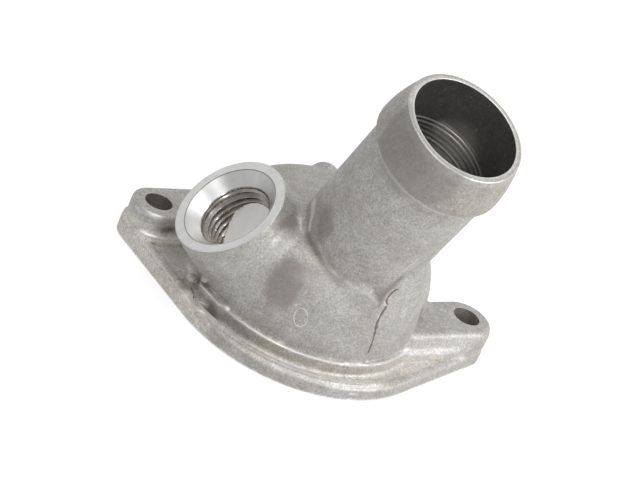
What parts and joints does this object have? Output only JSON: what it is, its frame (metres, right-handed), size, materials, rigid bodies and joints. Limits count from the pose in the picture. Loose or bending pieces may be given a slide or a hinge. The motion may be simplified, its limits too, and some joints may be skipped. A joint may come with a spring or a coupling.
{
  "type": "coolant outlet",
  "caption": "Cast aluminium coolant outlet: a thermostat cover flange with bolt ears, a round body, a slanted hose neck with a bead, and a slanted threaded sensor port.",
  "frame": {"origin": "middle of the underside of the part's box, in the plane of the mounting face, 1.5 mm in front of the middle of the thermostat seat", "axes": "+X along the line of the bolt holes, towards the right ear; +Z square to the mounting face, towards the hose neck; -Y towards the side that the hose neck leans to"},
  "size_m": [0.0896, 0.0676, 0.0705],
  "materials": {
    "cast_aluminium": "raw die cast, matte, with bright machined faces"
  },
  "bodies": {
    "root": {"coolant_outlet": "cast_aluminium"}
  },
  "joints": []
}
